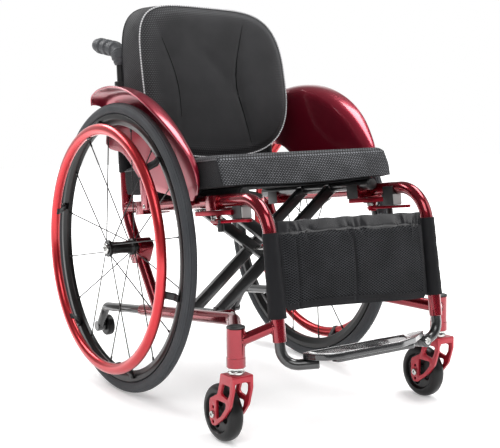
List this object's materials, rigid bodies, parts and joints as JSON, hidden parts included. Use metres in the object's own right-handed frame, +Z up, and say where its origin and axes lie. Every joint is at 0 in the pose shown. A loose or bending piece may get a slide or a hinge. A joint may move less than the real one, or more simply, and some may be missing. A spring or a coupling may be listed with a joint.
{
  "type": "folding wheelchair",
  "caption": "Lightweight folding wheelchair with a cross brace, quick-release cambered rear wheels, handrims, clothes guards, swivelling front casters, flip-up footplate and anti-tip tubes.",
  "frame": {"origin": "on the floor, midway between the points under the two rear axles", "axes": "-Y towards the front of the chair, +Z up, +X towards the user's left"},
  "size_m": [0.5686, 0.8811, 0.79],
  "materials": {
    "frame_red": "candy red lacquer, glossy",
    "anodised_red": "red anodised, satin",
    "cast_red": "red coated casting",
    "guard_red": "dark red lacquer, glossy",
    "black_tube": "black coated, semi-gloss",
    "wheel_black": "black coated, satin",
    "black_plastic": "moulded, matt",
    "plate_black": "moulded, matt",
    "black_rubber": "matt",
    "grip_rubber": "ribbed, matt",
    "tyre_rubber": "matt",
    "bright_steel": "polished",
    "black_cloth": "woven black cloth",
    "seat_cloth": "grey spacer mesh",
    "back_cloth": "black cloth with piping"
  },
  "bodies": {
    "right_frame": {"right_side_frame": "frame_red", "right_axle_bracket": "frame_red", "right_clothes_guard": "guard_red", "right_brake_body": "frame_red", "right_calf_sleeve": "black_cloth", "right_handle_collar": "black_plastic", "right_stem_cap": "black_plastic", "right_bearing_washer": "bright_steel", "right_saddle_front": "black_plastic", "right_saddle_rear": "black_plastic", "right_pivot_pin": "bright_steel", "right_axle_pin": "bright_steel", "right_hanger_tube": "black_tube", "back_sling": "black_cloth", "back_cushion": "back_cloth", "calf_bag": "black_cloth"},
    "left_frame": {"left_side_frame": "frame_red", "left_axle_bracket": "frame_red", "left_clothes_guard": "guard_red", "left_brake_body": "frame_red", "left_calf_sleeve": "black_cloth", "left_handle_collar": "black_plastic", "left_stem_cap": "black_plastic", "left_bearing_washer": "bright_steel", "left_saddle_front": "black_plastic", "left_saddle_rear": "black_plastic", "left_pivot_pin": "bright_steel", "left_axle_pin": "bright_steel", "left_hanger_tube": "black_tube", "footplate_pin": "bright_steel"},
    "brace_a": {"brace_a": "black_tube", "centre_pin": "bright_steel"},
    "brace_b": {"brace_b": "black_tube"},
    "seat": {"seat_sling": "black_cloth", "seat_cushion": "seat_cloth"},
    "footplate": {"footplate": "plate_black"},
    "left_wheel": {"left_wheel": "wheel_black", "left_tyre": "tyre_rubber", "left_handrim": "anodised_red"},
    "left_caster_fork": {"left_caster_fork": "cast_red", "left_caster_bolt": "bright_steel"},
    "left_caster_wheel": {"left_caster_wheel": "black_rubber"},
    "left_brake_lever": {"left_brake_lever": "anodised_red"},
    "left_handle": {"left_push_handle": "black_tube", "left_handle_grip": "grip_rubber"},
    "left_anti_tip": {"left_anti_tip_tube": "black_tube"},
    "left_anti_tip_wheel": {"left_anti_tip_wheel": "black_rubber"},
    "left_axle_button": {"left_axle_button": "bright_steel"},
    "right_wheel": {"right_wheel": "wheel_black", "right_tyre": "tyre_rubber", "right_handrim": "anodised_red"},
    "right_caster_fork": {"right_caster_fork": "cast_red", "right_caster_bolt": "bright_steel"},
    "right_caster_wheel": {"right_caster_wheel": "black_rubber"},
    "right_brake_lever": {"right_brake_lever": "anodised_red"},
    "right_handle": {"right_push_handle": "black_tube", "right_handle_grip": "grip_rubber"},
    "right_anti_tip": {"right_anti_tip_tube": "black_tube"},
    "right_anti_tip_wheel": {"right_anti_tip_wheel": "black_rubber"},
    "right_axle_button": {"right_axle_button": "bright_steel"}
  },
  "joints": [
    {"name": "fold", "type": "hinge", "parent": "right_frame", "child": "brace_a", "pos_m": [-0.15, 0.01892, 0.15636], "axis": [0, -0.9928, 0.1201], "range_deg": [0, 43.8], "deforming": ["seat_sling", "seat_cushion", "back_sling", "back_cushion", "calf_bag"]},
    {"name": "brace_b_turn", "type": "hinge", "parent": "brace_a", "child": "brace_b", "pos_m": [0, 0.0325, 0.26854], "axis": [0, -0.9928, 0.1201], "range_deg": [-88, 0]},
    {"name": "left_frame_turn", "type": "hinge", "parent": "brace_b", "child": "left_frame", "pos_m": [0.15, 0.01892, 0.15636], "axis": [0, -0.9928, 0.1201], "range_deg": [0, 44]},
    {"name": "seat_turn", "type": "hinge", "parent": "brace_b", "child": "seat", "pos_m": [-0.15, 0.04607, 0.38072], "axis": [0, -0.9928, 0.1201], "range_deg": [0, 44]},
    {"name": "footplate_flip", "type": "hinge", "parent": "left_frame", "child": "footplate", "pos_m": [0.134, -0.49278, 0.14591], "axis": [0, 0.9898, -0.1426], "range_deg": [0, 90]},
    {"name": "left_wheel_spin", "type": "hinge", "parent": "left_frame", "child": "left_wheel", "pos_m": [0.2337, 0, 0.29496], "axis": [0.9999, 0, 0.0157], "continuous": true},
    {"name": "left_caster_swivel", "type": "hinge", "parent": "left_frame", "child": "left_caster_fork", "pos_m": [0.2369, -0.4364, 0.1412], "axis": [0, 0, 1], "continuous": true},
    {"name": "left_caster_spin", "type": "hinge", "parent": "left_caster_fork", "child": "left_caster_wheel", "pos_m": [0.2369, -0.3934, 0.051], "axis": [1, 0, 0], "continuous": true},
    {"name": "left_brake", "type": "hinge", "parent": "left_frame", "child": "left_brake_lever", "pos_m": [0.185, -0.29723, 0.37392], "axis": [0, 0.1201, 0.9928], "range_deg": [0, 80]},
    {"name": "left_handle_slide", "type": "slide", "parent": "left_frame", "child": "left_handle", "axis": [0, 0.061, 0.9981], "range_m": [-0.03, 0.07]},
    {"name": "left_anti_tip_turn", "type": "hinge", "parent": "left_frame", "child": "left_anti_tip", "pos_m": [0.181, 0.008, 0.15768], "axis": [0, 0.9928, -0.1201], "range_deg": [0, 180]},
    {"name": "left_anti_tip_spin", "type": "hinge", "parent": "left_anti_tip", "child": "left_anti_tip_wheel", "pos_m": [0.181, 0.214, 0.086], "axis": [1, 0, 0], "continuous": true},
    {"name": "left_axle_release", "type": "slide", "parent": "left_frame", "child": "left_axle_button", "axis": [-0.9999, 0, -0.0157], "range_m": [0, 0.0035], "stiffness_N_per_m": 400, "springref_m": -0.002},
    {"name": "right_wheel_spin", "type": "hinge", "parent": "right_frame", "child": "right_wheel", "pos_m": [-0.2337, 0, 0.29496], "axis": [0.9999, 0, -0.0157], "continuous": true},
    {"name": "right_caster_swivel", "type": "hinge", "parent": "right_frame", "child": "right_caster_fork", "pos_m": [-0.2369, -0.4364, 0.1412], "axis": [0, 0, 1], "continuous": true},
    {"name": "right_caster_spin", "type": "hinge", "parent": "right_caster_fork", "child": "right_caster_wheel", "pos_m": [-0.2369, -0.3934, 0.051], "axis": [1, 0, 0], "continuous": true},
    {"name": "right_brake", "type": "hinge", "parent": "right_frame", "child": "right_brake_lever", "pos_m": [-0.185, -0.29723, 0.37392], "axis": [0, -0.1201, -0.9928], "range_deg": [0, 80]},
    {"name": "right_handle_slide", "type": "slide", "parent": "right_frame", "child": "right_handle", "axis": [0, 0.061, 0.9981], "range_m": [-0.03, 0.07]},
    {"name": "right_anti_tip_turn", "type": "hinge", "parent": "right_frame", "child": "right_anti_tip", "pos_m": [-0.181, 0.008, 0.15768], "axis": [0, -0.9928, 0.1201], "range_deg": [0, 180]},
    {"name": "right_anti_tip_spin", "type": "hinge", "parent": "right_anti_tip", "child": "right_anti_tip_wheel", "pos_m": [-0.181, 0.214, 0.086], "axis": [1, 0, 0], "continuous": true},
    {"name": "right_axle_release", "type": "slide", "parent": "right_frame", "child": "right_axle_button", "axis": [0.9999, 0, -0.0157], "range_m": [0, 0.0035], "stiffness_N_per_m": 400, "springref_m": -0.002}
  ],
  "couplings": [
    {"joint": "brace_b_turn", "follows": "fold", "ratio": -2},
    {"joint": "left_frame_turn", "follows": "fold", "ratio": 1},
    {"joint": "seat_turn", "follows": "fold", "ratio": 1}
  ]
}
